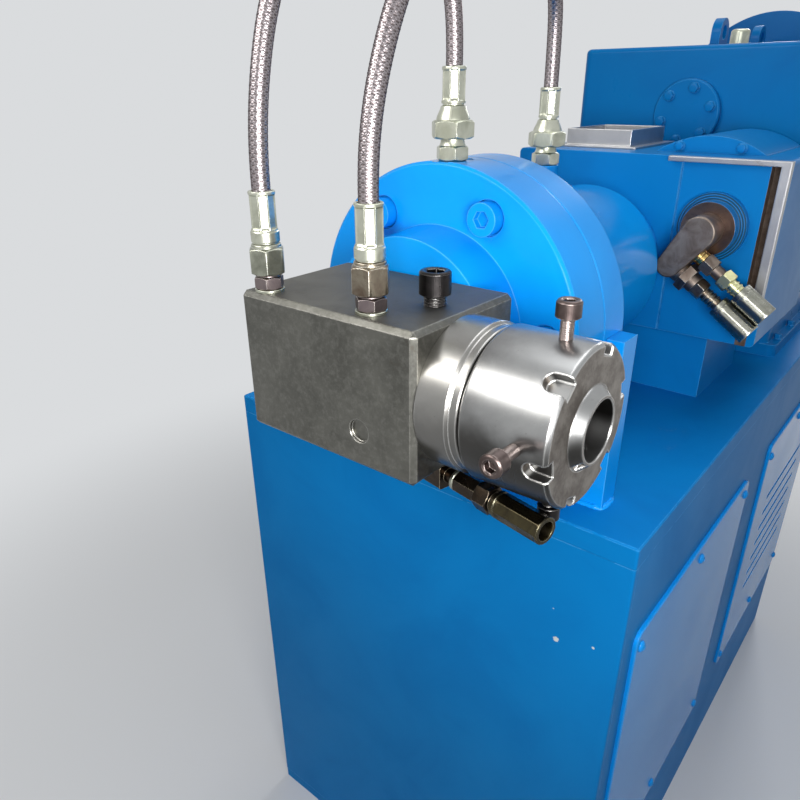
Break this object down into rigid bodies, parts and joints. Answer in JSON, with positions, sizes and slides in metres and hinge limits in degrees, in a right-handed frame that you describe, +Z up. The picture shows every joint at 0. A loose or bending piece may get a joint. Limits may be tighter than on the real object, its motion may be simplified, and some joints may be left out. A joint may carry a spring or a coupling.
{
  "type": "wire extruder",
  "caption": "Rubber wire extruder: crosshead with centring die nut on a flanged barrel, side feed roll, gearbox and belt guard on a closed sheet-steel base.",
  "frame": {"origin": "on the floor, at the middle of the underside of the base", "axes": "+X the way the coated wire leaves the die, +Y from the crosshead back along the barrel, +Z up"},
  "size_m": [0.6058, 1.379, 1.3706],
  "materials": {
    "bare_steel": "bare sheet",
    "blue_paint": "gloss paint",
    "braided_steel": "stainless braid",
    "brass": "tarnished",
    "dark_steel": "blackened, oiled",
    "machined_steel": "milled, oil-stained",
    "oiled_iron": "oiled, rust-brown",
    "turned_steel": "turned, bright",
    "zinc_steel": "zinc plated"
  },
  "bodies": {
    "root": {"barrel_flange": "blue_paint", "barrel_jacket": "blue_paint", "barrel_port_fitting": "zinc_steel", "base_foot_plate": "blue_paint", "base_front_panel": "blue_paint", "base_left_panel": "blue_paint", "base_rear_panel": "blue_paint", "base_right_panel": "blue_paint", "base_top_plate": "blue_paint", "belt_guard": "blue_paint", "centring_screws": "dark_steel", "clamp_screw": "dark_steel", "crosshead_block": "machined_steel", "die": "dark_steel", "die_collar": "turned_steel", "die_nut": "turned_steel", "feed_frame": "bare_steel", "feed_housing": "blue_paint", "feed_pedestal": "blue_paint", "feed_rim": "bare_steel", "feed_roll_cap": "oiled_iron", "flange_port_fitting": "zinc_steel", "flange_screws": "blue_paint", "front_bearing_cap": "blue_paint", "gearbox_breather": "blue_paint", "gearbox_cover": "blue_paint", "gearbox_housing": "blue_paint", "head_flange": "blue_paint", "hose_adaptors": "dark_steel", "inlet_collar": "turned_steel", "input_cap": "blue_paint", "lantern": "blue_paint", "left_braided_hose": "braided_steel", "left_hose_end": "zinc_steel", "left_side_covers": "blue_paint", "lock_ring": "turned_steel", "lower_elbow": "brass", "lower_hose_end": "zinc_steel", "right_braided_hose": "braided_steel", "right_hose_end": "zinc_steel", "right_side_covers": "blue_paint", "roll_case": "blue_paint", "rotary_union": "zinc_steel", "saddle_plate": "blue_paint", "union_brass_adaptor": "brass", "union_hose_ends": "zinc_steel"}
  },
  "joints": []
}
